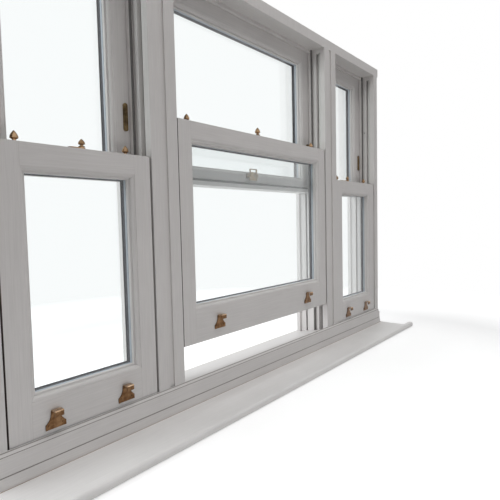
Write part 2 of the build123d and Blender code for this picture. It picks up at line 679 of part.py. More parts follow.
def latch_boxes(edge, side, height, inset):
    """Channel for a latch bolt: covered by timber near the sash's end, open under the plate."""
    y = (LOWER_GROOVE_IN - LATCH_BOLT_W / 2, LOWER_GROOVE_IN + LATCH_BOLT_W / 2)
    back = edge + side * (inset + LATCH_TAIL + LATCH_THROW)
    floor = height - LATCH_COVER - LATCH_BOLT_H
    plate_start = edge + side * (inset + LATCH_THROW / 2 - LATCH_PLATE_L / 2 + SCREW_IN + SCREW_R)
    return [((edge, back), y, (floor, height - LATCH_COVER)), ((plate_start, back), y, (height - LATCH_COVER, height))]


def latch(edge, side, height, inset):
    """Bolt of a tilt latch with its stem and acorn."""
    knob = acorn(LATCH_KNOB_R, LATCH_KNOB_H)
    x = edge + side * inset
    half = LATCH_BOLT_W / 2 - LATCH_PLAY
    floor = height - LATCH_COVER - LATCH_BOLT_H + LATCH_PLAY
    top = height - LATCH_COVER - LATCH_PLAY
    foot = height + LATCH_PLATE_T + LATCH_PLAY
    with BuildPart() as bolt:
        cuboid((edge - side * (SIDE_GAP + LATCH_REACH), x + side * (LATCH_TAIL - LATCH_PLAY)),
               (LOWER_GROOVE_IN - half, LOWER_GROOVE_IN + half), (floor, top))
        with Locations((x, LOWER_GROOVE_IN, top)):
            Cylinder(LATCH_STEM_R, foot - top, align=(Align.CENTER, Align.CENTER, Align.MIN))
        add(knob.moved(Location((x, LOWER_GROOVE_IN, foot))))
    return bolt.part


# Fittings of the upper sashes

def keep(x, rail_top):
    """Keep on the meeting rail: a base, a step out to the loop, wings and two screws."""
    low = rail_top - KEEP_BELOW
    high = rail_top + KEEP_ABOVE
    wing = (rail_top - KEEP_WING_LOW, rail_top - KEEP_WING_LOW + KEEP_WING_H)
    hole_z = high - KEEP_HOLE_H / 2 - KEEP_LOOP_T
    with BuildPart() as body:
        cuboid((x - KEEP_W / 2, x + KEEP_W / 2), (-KEEP_OUT, -KEEP_OUT + KEEP_LOOP_T), (low, high))
        fillet(body.edges().filter_by(Axis.Y), KEEP_LOOP_T)
        cuboid((x - KEEP_WING_W / 2, x + KEEP_WING_W / 2), (-KEEP_WING_OUT, 0), wing)
        with Locations(Location((x, -KEEP_OUT, hole_z), (90, 0, 0))):
            Box(KEEP_HOLE_W, KEEP_HOLE_H, 2 * KEEP_OUT, mode=Mode.SUBTRACT)
    pieces = [body.part]
    reach = (KEEP_W + KEEP_WING_W) / 4
    for screw_x in (x - reach, x + reach):
        pieces.append(screw(screw_x, -KEEP_WING_OUT, (wing[0] + wing[1]) / 2, (90, 0, 0)))
    return pieces


def restrictor_plate(x):
    """Upright plate with a slot that takes the folded catch, and two screws."""
    pivot_z = RESTRICTOR_RAISE + RESTRICTOR_L / 2 - CATCH_L / 2
    pivot_y = -RESTRICTOR_T + CATCH_PIVOT_OUT
    slot_z = (pivot_z - CATCH_T / 2 - 2 * CATCH_PLAY, pivot_z + CATCH_L)
    half = CATCH_W / 2 + CATCH_PLAY
    with BuildPart() as plate:
        with BuildSketch(Plane.XZ):
            with Locations((x, RESTRICTOR_RAISE + RESTRICTOR_L / 2)):
                SlotOverall(RESTRICTOR_L, RESTRICTOR_W, rotation=90)
        extrude(amount=RESTRICTOR_T)
        cuboid((x - half, x + half), (-RESTRICTOR_T, 0), slot_z, Mode.SUBTRACT)
        with Locations(Location((x, pivot_y, pivot_z), (0, 90, 0))):
            Cylinder(CATCH_PIVOT_R + CATCH_FIT, CATCH_W + 2 * CATCH_STUB + 2 * CATCH_PLAY, mode=Mode.SUBTRACT)
    pieces = [plate.part]
    for screw_z in (RESTRICTOR_RAISE + RESTRICTOR_W / 2, RESTRICTOR_RAISE + RESTRICTOR_L - RESTRICTOR_W / 2):
        pieces.append(screw(x, -RESTRICTOR_T, screw_z, (90, 0, 0)))
    return pieces


def restrictor_catch(x):
    """Catch folded into its plate, on two stub pivots at its lower end."""
    pivot_z = RESTRICTOR_RAISE + RESTRICTOR_L / 2 - CATCH_L / 2
    pivot_y = -RESTRICTOR_T + CATCH_PIVOT_OUT
    with BuildPart() as catch:
        cuboid((x - CATCH_W / 2, x + CATCH_W / 2), (pivot_y - CATCH_T / 2, pivot_y + CATCH_T / 2),
               (pivot_z, pivot_z + CATCH_L - 3 * CATCH_PLAY))
        with Locations(Location((x, pivot_y, pivot_z), (0, 90, 0))):
            Cylinder(CATCH_T / 2, CATCH_W)
            Cylinder(CATCH_PIVOT_R, CATCH_W + 2 * CATCH_STUB)
    return catch.part


def place(pieces, where):
    return [piece.moved(where) for piece in pieces]


for light, (left, right) in OPENINGS.items():
    width = right - left - 2 * SIDE_GAP
    fastener_x = {"left": width - SIDE_FASTENER_IN, "centre": width / 2, "right": SIDE_FASTENER_IN}[light]
    ends = ((0.0, 1), (width, -1))

    # Lower sash
    if light == "centre":
        raised, latch_in, lift_inset, knob = CENTRE_RAISE, LATCH_IN, CENTRE_LIFT_INSET, (ACORN_R, ACORN_H)
    else:
        raised, latch_in, lift_inset, knob = 0.0, SIDE_LATCH_IN, SIDE_LIFT_INSET, (SIDE_ACORN_R, SIDE_ACORN_H)
    at = Location((left + SIDE_GAP, LOWER_FACE_Y, LOWER_Z + raised))
    cuts = [pivot_mortise(edge, side, LOWER_GROOVE_IN, LOWER_PIVOT_W) for edge, side in ends]
    for edge, side in ends:
        cuts += latch_boxes(edge, side, LOWER_H, latch_in)
    stiles, rails = sash_timber(width, LOWER_H, LOWER_BOTTOM_RAIL_H, LOWER_TOP_RAIL_H, cuts)
    save("lower_" + light + "_stiles", place(stiles, at))
    save("lower_" + light + "_rails", place(rails, at))
    save("lower_" + light + "_glazing", place(glazing(width, LOWER_H, LOWER_BOTTOM_RAIL_H, LOWER_TOP_RAIL_H), at))
    rod_length = TUBE_FOOT_Z + ROD_ENTRY - LOWER_Z - SHOE_LIFT - SHOE_H
    save("lower_" + light + "_balance", place(balance(
        width, LOWER_H, LOWER_GROOVE_IN, LOWER_GROOVE_W, LOWER_PIVOT_W, rod_length, False), at))
    save("lower_" + light + "_lifts", place(lift(lift_inset) + lift(width - lift_inset), at))
    fittings = fastener_base(fastener_x, LOWER_H)
    for edge, side in ends:
        fittings += latch_plate(edge + side * latch_in, side, LOWER_H)
    save("lower_" + light + "_top_fittings", place(fittings, at))
    save("lower_" + light + "_fastener_arm", place([fastener_arm(fastener_x, LOWER_H, *knob)], at))
    save("lower_" + light + "_latch_left", place([latch(0.0, 1, LOWER_H, latch_in)], at))
    save("lower_" + light + "_latch_right", place([latch(width, -1, LOWER_H, latch_in)], at))

    # Upper sash
    at = Location((left + SIDE_GAP, UPPER_FACE_Y, UPPER_Z))
    cuts = [pivot_mortise(edge, side, SASH_T / 2, UPPER_PIVOT_W) for edge, side in ends]
    cuts += [guide_box(edge, side, UPPER_H) for edge, side in ends]
    ledge = ((LEDGE_INSET, width - LEDGE_INSET), (-LEDGE_OUT, 0), (0, LEDGE_H))
    stiles, rails = sash_timber(width, UPPER_H, MEETING_RAIL_H, UPPER_TOP_RAIL_H, cuts, ledge)
    save("upper_" + light + "_stiles", place(stiles, at))
    save("upper_" + light + "_rails", place(rails, at))
    save("upper_" + light + "_glazing", place(glazing(width, UPPER_H, MEETING_RAIL_H, UPPER_TOP_RAIL_H), at))
    rod_length = TUBE_TOP_Z - ROD_TOP_GAP - UPPER_Z - SHOE_LIFT - SHOE_H
    save("upper_" + light + "_balance", place(balance(
        width, UPPER_H, SASH_T / 2, UPPER_POCKET_W, UPPER_PIVOT_W, rod_length, True), at))
    save("upper_" + light + "_brush", place([block(
        (LEDGE_INSET, width - LEDGE_INSET), (-BRUSH_T, 0), (LEDGE_H, LEDGE_H + BRUSH_RAISE + BRUSH_H))], at))
    restrictor_x = width - RESTRICTOR_INSET
    save("upper_" + light + "_fittings", place(
        keep(fastener_x, MEETING_OVERLAP) + restrictor_plate(restrictor_x), at))
    save("upper_" + light + "_restrictor_catch", place([restrictor_catch(restrictor_x)], at))
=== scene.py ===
import math

import bmesh
import bpy
import numpy as np
from mathutils import Matrix, Vector


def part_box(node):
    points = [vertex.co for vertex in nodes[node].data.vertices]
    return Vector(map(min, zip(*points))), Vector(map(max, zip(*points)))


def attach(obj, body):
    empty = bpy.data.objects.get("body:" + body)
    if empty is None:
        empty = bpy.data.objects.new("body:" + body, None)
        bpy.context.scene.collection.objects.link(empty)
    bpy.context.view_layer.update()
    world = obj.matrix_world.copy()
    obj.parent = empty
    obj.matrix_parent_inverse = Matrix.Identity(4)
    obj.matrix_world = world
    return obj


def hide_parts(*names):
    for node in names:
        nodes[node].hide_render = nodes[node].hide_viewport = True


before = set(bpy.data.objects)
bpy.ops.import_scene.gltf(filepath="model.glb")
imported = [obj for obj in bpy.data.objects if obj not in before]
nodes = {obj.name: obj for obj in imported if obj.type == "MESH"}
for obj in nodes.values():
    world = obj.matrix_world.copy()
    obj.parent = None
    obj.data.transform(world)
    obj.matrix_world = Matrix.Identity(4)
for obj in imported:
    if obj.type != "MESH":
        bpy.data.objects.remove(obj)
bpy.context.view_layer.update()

# A sash window with three lights and two sliding sashes in each. X runs along the window, Y away
# from the room, Z is up, and all lengths are in metres.

LIGHTS = ("left", "centre", "right")
WHITE = (1.0, 1.0, 1.0)
BLACK = (0.0, 0.0, 0.0)

# Glazing, measured inwards from the edge of its own node's box and outwards from its room side
PANE = 0.004
CAVITY = 0.016
GLASS_INSET = 0.003     # the panes stop this far inside the edge
GROUND = 0.0006         # ground edge of a pane
SPACER_INSET = 0.0165   # sight edge of the spacer bars
SPACER_EASE = 0.0008
SEAL_DEPTH = 0.008      # dark seal between the spacer and the outer pane
SEAL_SWELL = 0.0005     # how far the seal swells past the spacer
SEAL_EASE = 0.0006
TAPE_T = 0.0018
TAPE_INSET = 0.002
TAPE_SHOWN = 0.002      # how far the tape shows past the bead
TAPE_EASE = 0.0004
BEAD_W = 0.017
BEAD_NOSE = 0.004       # square part of the bead, the rest slopes
BEAD_BACK = 0.006       # width of the bead at its outer side
BEAD_EASE = 0.0009
BEAD_SLIT = 0.0002      # gap at each mitre

# Acorn knobs, as shares of their radius and height, with the arms and bolts that they work
COLLAR = ((0.90, 0.0), (0.95, 0.02), (0.95, 0.06), (0.90, 0.08), (0.50, 0.13), (0.47, 0.185),
          (0.50, 0.24), (0.96, 0.33), (1.0, 0.35))
BELLY = np.array(((1.0, 0.34), (0.98, 0.5), (0.72, 0.72), (0.3, 0.92)))
TIP = ((0.21, 0.965), (0.12, 0.995), (0.03, 1.0))
SIDE_KNOB_R = 0.0085    # knobs of the fasteners in the side lights
ARM_T = 0.004
ARM_HUB_R = 0.009
ARM_TIP_R = 0.004
CAP_R = 0.0065          # cap between an arm and its knob
CAP_H = 0.002
CAP_ARRIS = 0.0003
BOLT_H = 0.0098
BOLT_HALF = 0.0049
BOLT_TAIL = 0.0119      # from the bolt's inner end to its knob
STEM_R = 0.003          # stem between a bolt and its knob
STEM_H = 0.0037

TUFT_PITCH = 0.0016
TUFT_UNEVEN = 0.0016

# Lines drawn in a finish: the axis they are measured along, their places on it, half their width,
# and whether they repeat on the other side of the window's middle
RAIL_JOINTS = ("X", (0.384, 0.600, 0.907), 0.0006, True)        # where the rails meet their stiles
SASH_EDGE_SHADE = ("X", (0.437, 0.547, 0.960), 0.0006, True)         # painted shade on the running edges of the sashes, in the gaps beside them
TRIM_QUIRK_SHADE = ("Z", (0.0982, 0.0918, 0.0500), 0.0009, False)    # painted shade in the quirks of the sill bead
BOARD_JOINT = ("Y", (-0.0198,), 0.0012, False)                  # where the board meets the trim
LIFT_TOP_HIGHLIGHTS = ("Z", (0.157, 0.284), 0.0027, False)                # painted highlight along the tops of the hook lifts

ACROSS_GRAIN = 420.0
ALONG_GRAIN = 9.0


# Shader helpers

def material(name):
    """A new node material, its tree and its Principled shader."""
    made = bpy.data.materials.new(name)
    made.use_nodes = True
    return made, made.node_tree, made.node_tree.nodes["Principled BSDF"]


def node(tree, kind, **settings):
    made = tree.nodes.new("ShaderNode" + kind)
    for key, value in settings.items():
        setattr(made, key, value)
    return made


def grain(tree, scale, noise_scale=1.0, detail=5.0):
    """Noise read through stretched Object coordinates, so that it runs as a grain."""
    place = node(tree, "TexCoord")
    stretch = node(tree, "Mapping")
    stretch.inputs["Scale"].default_value = scale
    noise = node(tree, "TexNoise")
    noise.inputs["Scale"].default_value = noise_scale
    noise.inputs["Detail"].default_value = detail
    noise.inputs["Roughness"].default_value = 0.6
    tree.links.new(place.outputs["Object"], stretch.inputs["Vector"])
    tree.links.new(stretch.outputs["Vector"], noise.inputs["Vector"])
    return noise.outputs["Fac"]


def tones(tree, fac, low, high, start=0.3, end=0.7):
    """Colours from low to high while a value runs from start to end."""
    ramp = node(tree, "ValToRGB")
    ramp.color_ramp.elements[0].position = start
    ramp.color_ramp.elements[0].color = (*low, 1.0)
    ramp.color_ramp.elements[1].position = end
    ramp.color_ramp.elements[1].color = (*high, 1.0)
    tree.links.new(fac, ramp.inputs["Fac"])
    return ramp.outputs["Color"]


def spread(tree, fac, low, high):
    """A value from low to high while another runs from 0.3 to 0.7."""
    remap = node(tree, "MapRange")
    remap.inputs["From Min"].default_value = 0.3
    remap.inputs["From Max"].default_value = 0.7
    remap.inputs["To Min"].default_value = low
    remap.inputs["To Max"].default_value = high
    tree.links.new(fac, remap.inputs["Value"])
    return remap.outputs["Result"]


def relief(tree, height, distance, strength=1.0):
    bump = node(tree, "Bump")
    bump.inputs["Distance"].default_value = distance
    bump.inputs["Strength"].default_value = strength
    tree.links.new(height, bump.inputs["Height"])
    return bump.outputs["Normal"]


def multiply(tree, colour, factor):
    """Colour darkened by a factor between 0 and 1."""
    mix = node(tree, "Mix", data_type="RGBA", blend_type="MULTIPLY")
    mix.inputs["Factor"].default_value = 1.0
    tree.links.new(colour, mix.inputs["A"])
    tree.links.new(factor, mix.inputs["B"])
    return mix.outputs["Result"]


def lines_at(tree, axis, places, half_width, mirrored):
    """1 within half_width of the given places along one axis, 0 elsewhere."""
    split = node(tree, "SeparateXYZ")
    tree.links.new(node(tree, "TexCoord").outputs["Object"], split.inputs["Vector"])
    where = split.outputs[axis]
    if mirrored:
        side = node(tree, "Math", operation="ABSOLUTE")
        tree.links.new(where, side.inputs[0])
        where = side.outputs[0]
    lines = None
    for distance in places:
        near = node(tree, "Math", operation="COMPARE")
        near.inputs[1].default_value = distance
        near.inputs[2].default_value = half_width
        tree.links.new(where, near.inputs[0])
        if lines is None:
            lines = near.outputs[0]
        else:
            total = node(tree, "Math", operation="MAXIMUM")
            tree.links.new(lines, total.inputs[0])
            tree.links.new(near.outputs[0], total.inputs[1])
            lines = total.outputs[0]
    return lines


def lined(tree, colour, lines, on_lines, elsewhere):
    """Colour multiplied by one tone on the lines and by another elsewhere."""
    return multiply(tree, colour, tones(tree, lines_at(tree, *lines), elsewhere, on_lines, 0.0, 1.0))


# Finishes

def painted(name, along, low, high, lines=None, line_tone=(0.42, 0.41, 0.39)):
    """Satin paint over a fine grain that runs along one axis, with lines of a darker tone."""
    made, tree, shader = material(name)
    scale = [ACROSS_GRAIN] * 3
    scale["XYZ".index(along)] = ALONG_GRAIN
    fibres = grain(tree, scale)
    brushed = grain(tree, (3.0, 3.0, 3.0), 2.0, 3.0)
    colour = tones(tree, fibres, low, high, 0.25, 0.75)
    colour = multiply(tree, colour, tones(tree, brushed, (0.95, 0.95, 0.95), WHITE))
    if lines:
        colour = lined(tree, colour, lines, line_tone, WHITE)
    tree.links.new(colour, shader.inputs["Base Color"])
    tree.links.new(spread(tree, fibres, 0.42, 0.54), shader.inputs["Roughness"])
    tree.links.new(relief(tree, fibres, 0.00018), shader.inputs["Normal"])
    shader.inputs["Specular IOR Level"].default_value = 0.4
    return made


def metal(name, low, high, rough, highlight_lines=None, shade_tone=(0.27, 0.21, 0.16)):
    """Cast and polished metal. Given lines along an axis, it keeps its full colour there as a painted
    highlight and is darkened elsewhere by a tone, as painted shade.
    """
    made, tree, shader = material(name)
    patches = grain(tree, (1.0, 1.0, 1.0), 55.0, 2.0)
    wear = grain(tree, (1.0, 1.0, 1.0), 900.0, 2.0)
    colour = tones(tree, patches, low, high, 0.34, 0.66)
    if highlight_lines:
        colour = lined(tree, colour, highlight_lines, WHITE, shade_tone)
    tree.links.new(colour, shader.inputs["Base Color"])
    tree.links.new(spread(tree, wear, *rough), shader.inputs["Roughness"])
    tree.links.new(relief(tree, wear, 0.00005), shader.inputs["Normal"])
    shader.inputs["Metallic"].default_value = 1.0
    return made


def extruded(name, low, high, rough):
    """Plastic or coated strip with faint die lines along its length."""
    made, tree, shader = material(name)
    lines = grain(tree, (700.0, 700.0, 4.0))
    tree.links.new(tones(tree, lines, low, high), shader.inputs["Base Color"])
    tree.links.new(spread(tree, lines, rough, rough + 0.12), shader.inputs["Roughness"])
    tree.links.new(relief(tree, lines, 0.0001), shader.inputs["Normal"])
    return made


def bristles(name, low, high):
    """Woven brush pile: short fibres that stand across the strip."""
    made, tree, shader = material(name)
    hairs = grain(tree, (1500.0, 120.0, 1500.0), 1.0, 3.0)
    tree.links.new(tones(tree, hairs, low, high), shader.inputs["Base Color"])
    tree.links.new(relief(tree, hairs, 0.0012), shader.inputs["Normal"])
    shader.inputs["Roughness"].default_value = 0.95
    shader.inputs["Specular IOR Level"].default_value = 0.1
    return made


def clear_glass(name):
    """Float glass with a trace of green; lamps shine through it."""
    made, tree, shader = material(name)
    shader.inputs["Base Color"].default_value = (0.97, 0.985, 0.985, 1.0)
    shader.inputs["Roughness"].default_value = 0.0
    shader.inputs["IOR"].default_value = 1.5
    shader.inputs["Transmission Weight"].default_value = 1.0
    ripple = grain(tree, (1.0, 1.0, 1.0), 3.0, 1.0)
    tree.links.new(relief(tree, ripple, 0.0002, 0.3), shader.inputs["Normal"])
    path = node(tree, "LightPath")
    through = node(tree, "BsdfTransparent")
    through.inputs["Color"].default_value = (0.97, 0.985, 0.98, 1.0)
    mix = node(tree, "MixShader")
    tree.links.new(path.outputs["Is Shadow Ray"], mix.inputs[0])
    tree.links.new(shader.outputs["BSDF"], mix.inputs[1])
    tree.links.new(through.outputs["BSDF"], mix.inputs[2])
    tree.links.new(mix.outputs["Shader"], tree.nodes["Material Output"].inputs["Surface"])
    return made


PAINT = ((0.61, 0.59, 0.58), (0.70, 0.68, 0.67))
upright_paint = painted("paint_upright", "Z", *PAINT)
# The stiles get near-black painted shade on their running edges, where the gaps beside them lie.
stile_paint = painted("paint_stile", "Z", *PAINT, SASH_EDGE_SHADE, (0.14, 0.115, 0.10))
level_paint = painted("paint_level", "X", *PAINT)
rail_paint = painted("paint_rail", "X", *PAINT, RAIL_JOINTS, (0.82, 0.80, 0.79))
# The sill bead gets painted shade, in the default line tone, along its quirks.
trim_paint = painted("paint_trim", "X", *PAINT, TRIM_QUIRK_SHADE)
# The window board takes a lighter copy of the paint, as painted light from the window on its top.
board_paint_lit = painted("paint_board_lit", "X", (0.80, 0.785, 0.775), (0.88, 0.865, 0.855),
                      BOARD_JOINT, (0.42, 0.30, 0.22))
brass = metal("brass_polished", (0.17, 0.10, 0.052), (0.46, 0.31, 0.185), (0.14, 0.3))
# The hook lifts are darkened all over as painted shade, save for a painted highlight along the tops of their
# hooks.
lift_brass = metal("brass_painted_highlight", (0.34, 0.21, 0.12), (0.78, 0.58, 0.40), (0.16, 0.32), LIFT_TOP_HIGHLIGHTS)
# A darker copy of the brass: painted shade for the fittings and catches of the upper sashes.
shaded_brass = metal("brass_painted_shade", (0.12, 0.085, 0.045), (0.34, 0.24, 0.125), (0.24, 0.42))
zinc = metal("zinc_plate", (0.42, 0.42, 0.41), (0.60, 0.60, 0.59), (0.3, 0.45))
tube_plastic = extruded("tube_plastic", (0.62, 0.61, 0.59), (0.70, 0.69, 0.67), 0.4)
spacer_bar = extruded("spacer_bar", (0.40, 0.44, 0.50), (0.50, 0.54, 0.60), 0.35)
edge_seal = extruded("edge_seal", (0.012, 0.014, 0.022), (0.03, 0.033, 0.045), 0.5)
pile = bristles("brush_pile", (0.012, 0.012, 0.013), (0.06, 0.058, 0.058))
pale_pile = bristles("bead_pile", (0.10, 0.097, 0.093), (0.21, 0.205, 0.20))
glass = clear_glass("glass_clear")

# Finishes of the CAD pieces by the end of their name; the other pieces of the frame are upright
FINISHES = (
    ("window_board", board_paint_lit),
    ("sill_trim", trim_paint),
    (("head", "sill"), level_paint),
    ("pile_strips", pale_pile),
    ("_brush", pile),
    ("_stiles", stile_paint),
    ("_rails", rail_paint),
    ("balance_tubes", tube_plastic),
    ("_balance", zinc),
    ("_lifts", lift_brass),
    (("_fittings", "_arm", "_latch_left", "_latch_right"), brass),
)


def finish_for(name):
    # Fittings and catches of the upper sashes take the darker brass, as painted shade.
    if name.startswith("upper_") and name.endswith(("_fittings", "_catch")):
        return shaded_brass
    for endings, finish in FINISHES:
        if name.endswith(endings):
            return finish
    return upright_paint


for name, piece in nodes.items():
    finish = finish_for(name)
    if not piece.material_slots:
        piece.data.materials.append(finish)
    for place in piece.material_slots:
        place.material = finish


# Building pieces from grids of points

def surface(name, grids, finish, body, stands_for, smooth=False):
    """One piece from one or more grids of points.

    A grid has one row for each step of the path and one column for each point of the closed profile;
    neighbouring rows and columns make the quads, and the first and the last row are faces.
    A smooth piece keeps a crease where faces meet at more than 35 degrees.
    """
    corners, faces, first = [], [], 0
    for grid in grids:
        rows, columns = grid.shape[:2]
        row = np.arange(rows - 1)[:, None]
        column = np.arange(columns)[None, :]
        here = row * columns + column
        beside = row * columns + (column + 1) % columns
        quads = np.stack([here, beside, beside + columns, here + columns], axis=-1)
        last = first + (rows - 1) * columns
        faces += (quads.reshape(-1, 4) + first).tolist()
        faces.append(list(range(first, first + columns)))
        faces.append(list(range(last, last + columns)))
        corners.append(grid.reshape(-1, 3))
        first += rows * columns
    mesh = bpy.data.meshes.new(name)
    mesh.from_pydata(np.concatenate(corners).tolist(), [], faces)
    solid = bmesh.new()
    solid.from_mesh(mesh)
    bmesh.ops.recalc_face_normals(solid, faces=solid.faces)
    solid.to_mesh(mesh)
    solid.free()
    if smooth:
        mesh.shade_smooth()
        mesh.set_sharp_from_angle(angle=math.radians(35))
    mesh.materials.append(finish)
    made = bpy.data.objects.new(name, mesh)
    bpy.context.scene.collection.objects.link(made)
    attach(made, body)
    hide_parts(stands_for)


def rectangle(low, high):
    return np.array([(low[0], low[1]), (high[0], low[1]), (high[0], high[1]), (low[0], high[1])])


def rounded(outline, radius):
    """Outline with each corner turned into a curve: between two points at the radius from the corner,
    the point at t is (1-t)^2 first + 2t(1-t) corner + t^2 second, for t = 0, 0.5 and 1."""
    corner = np.array(outline, float)
    back = np.roll(corner, 1, axis=0) - corner
    ahead = np.roll(corner, -1, axis=0) - corner
    start = corner + radius * back / np.linalg.norm(back, axis=1, keepdims=True)
    end = corner + radius * ahead / np.linalg.norm(ahead, axis=1, keepdims=True)
    t = np.linspace(0.0, 1.0, 3)[None, :, None]
    curve = (1 - t) ** 2 * start[:, None] + 2 * t * (1 - t) * corner[:, None] + t ** 2 * end[:, None]
    return curve.reshape(-1, 2)


# Glazing, as separate panes, spacer bars, seals, tapes and beads

def pane(low, high, front):
    """Pane with ground edges: four rings round the rectangle, the first and the last set in by the
    width of the ground edge."""
    corners = rectangle(low, high)
    inwards = np.sign(corners.mean(axis=0) - corners)
    inset = np.array([GROUND, 0.0, 0.0, GROUND])[:, None, None]
    depth = front + np.array([0.0, GROUND, PANE - GROUND, PANE])
    flat = corners[None] + inset * inwards[None]
    return np.stack([flat[..., 0], np.broadcast_to(depth[:, None], (4, 4)), flat[..., 1]], axis=-1)


def round_frame(section, low, high, slit=0.0):
    """Four mitred lengths round a rectangle: a point (w, d) of the section lies w inside the edge and at
    depth d, and each length is cut back by w and the slit at both ends, so that the ends make the mitres."""
    corners = rectangle(low, high)
    w, d = section[:, 0], section[:, 1]
    lengths = []
    for start, end in zip(corners, np.roll(corners, -1, axis=0)):
        along = (end - start) / np.linalg.norm(end - start)
        inwards = np.array([-along[1], along[0]])
        first = start + (w + slit)[:, None] * along + w[:, None] * inwards
        last = end - (w + slit)[:, None] * along + w[:, None] * inwards
        ends = np.stack([first, last])
        depth = np.broadcast_to(d, ends.shape[:2])
        lengths.append(np.stack([ends[..., 0], depth, ends[..., 1]], axis=-1))
    return lengths


def glaze(sash):
    """The glazing of one sash, laid out in depth from the room side of its node."""
    glazing = sash + "_glazing"
    low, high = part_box(glazing)
    edge = ((low[0], low[2]), (high[0], high[2]))
    glass_edge = [[a + s * GLASS_INSET for a in corner] for corner, s in zip(edge, (1, -1))]
    front = low[1]
    inner = front + PANE
    outer = inner + CAVITY
    seal = outer - SEAL_DEPTH
    tape = outer + PANE
    bead = tape + TAPE_T
    tape_edge = BEAD_W + TAPE_SHOWN
    spacer_section = [(GLASS_INSET, inner), (SPACER_INSET, inner), (SPACER_INSET, seal), (GLASS_INSET, seal)]
    seal_section = [(GLASS_INSET, seal), (SPACER_INSET, seal), (SPACER_INSET + SEAL_SWELL, outer),
                    (GLASS_INSET, outer)]
    tape_section = [(TAPE_INSET, tape), (tape_edge, tape), (tape_edge, bead), (TAPE_INSET, bead)]
    bead_section = [(0.0, bead), (BEAD_W, bead), (BEAD_W, bead + BEAD_NOSE), (BEAD_BACK, high[1]),
                    (0.0, high[1])]
    for part, grids, finish, slot in (
            ("_room_pane", [pane(*glass_edge, front)], glass, "glass"),
            ("_outer_pane", [pane(*glass_edge, outer)], glass, "glass"),
            ("_spacer_bars", round_frame(rounded(spacer_section, SPACER_EASE), *edge), spacer_bar,
             "balance_steel"),
            ("_edge_seal", round_frame(rounded(seal_section, SEAL_EASE), *edge), edge_seal,
             "balance_steel"),
            ("_glazing_tape", round_frame(rounded(tape_section, TAPE_EASE), *edge), edge_seal,
             "balance_steel"),
            ("_glazing_beads", round_frame(rounded(bead_section, BEAD_EASE), *edge, BEAD_SLIT),
             upright_paint, "paint")):
        surface(sash + part, grids, finish, sash + "_sash", glazing)


# Acorn knobs with the arms and bolts that they work

def acorn(radius, height):
    """Profile of a turned knob: collar and neck, then a belly whose radius is the cubic in the height
    through four points, and a blunt tip."""
    cubic = np.polyfit(BELLY[:, 1], BELLY[:, 0], 3)
    h = np.linspace(0.38, 0.93, 14)
    belly = np.stack([np.polyval(cubic, h), h], axis=1)
    return np.concatenate([COLLAR, belly, TIP]) * (radius, height)


def turned(profile, centre, foot):
    """Turned piece of 40 sides: the point (r, h) of the profile goes round the upright axis at foot + h."""
    r, h = np.array(profile).T
    angle = np.linspace(0.0, 2 * np.pi, 40, endpoint=False)
    x = centre[0] + r[:, None] * np.cos(angle)
    y = centre[1] + r[:, None] * np.sin(angle)
    return np.stack([x, y, np.broadcast_to((foot + h)[:, None], x.shape)], axis=-1)


def slab(outline, low, high):
    """Plate between two heights with the given outline."""
    return np.stack([np.column_stack([outline, np.full(len(outline), z)]) for z in (low, high)])


def arm_outline(hub, reach):
    """A round hub and a bar of the tip's width that runs to a round tip: arcs, the first of them to the
    angle whose sine is tip / hub on each side of the bar, joined by straight lines."""
    meet = math.pi - math.asin(ARM_TIP_R / ARM_HUB_R)
    a = np.linspace(-meet, meet, 41)
    b = np.linspace(math.pi / 2, 3 * math.pi / 2, 17)
    end = hub[0] - reach + ARM_TIP_R
    round_hub = np.column_stack([hub[0] + ARM_HUB_R * np.cos(a), hub[1] + ARM_HUB_R * np.sin(a)])
    round_tip = np.column_stack([end + ARM_TIP_R * np.cos(b), hub[1] + ARM_TIP_R * np.sin(b)])
    return np.concatenate([round_hub, round_tip])


def turn_fastener(light):
    arm = "lower_" + light + "_fastener_arm"
    low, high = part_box(arm)
    knob_r = (high[1] - low[1]) / 2 if light == "centre" else SIDE_KNOB_R
    hub = (high[0] - max(knob_r, ARM_HUB_R), (low[1] + high[1]) / 2)
    foot = low[2] + ARM_T + CAP_H
    cap = [(CAP_R, -CAP_H), (CAP_R, -CAP_ARRIS), (CAP_R - CAP_ARRIS, 0.0)]
    grids = [slab(arm_outline(hub, hub[0] - low[0]), low[2], low[2] + ARM_T),
             turned(cap, hub, foot),
             turned(acorn(knob_r, high[2] - foot), hub, foot)]
    surface(arm + "_turned", grids, brass, "lower_" + light + "_fastener", arm, smooth=True)


def turn_latch(light, hand):
    latch = "lower_" + light + "_latch_" + hand
    low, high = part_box(latch)
    middle = (low[1] + high[1]) / 2
    knob = (high[0] - BOLT_TAIL if hand == "left" else low[0] + BOLT_TAIL, middle)
    foot = low[2] + BOLT_H + STEM_H
    bolt = rectangle((low[0], middle - BOLT_HALF), (high[0], middle + BOLT_HALF))
    grids = [slab(bolt, low[2], low[2] + BOLT_H),
             turned([(STEM_R, -STEM_H), (STEM_R, 0.0)], knob, foot),
             turned(acorn((high[1] - low[1]) / 2, high[2] - foot), knob, foot)]
    body = "lower_" + light + "_latch_" + hand[0]
    surface(latch + "_turned", grids, brass, body, latch, smooth=True)


# Brush seals of the meeting rails, tuft by tuft

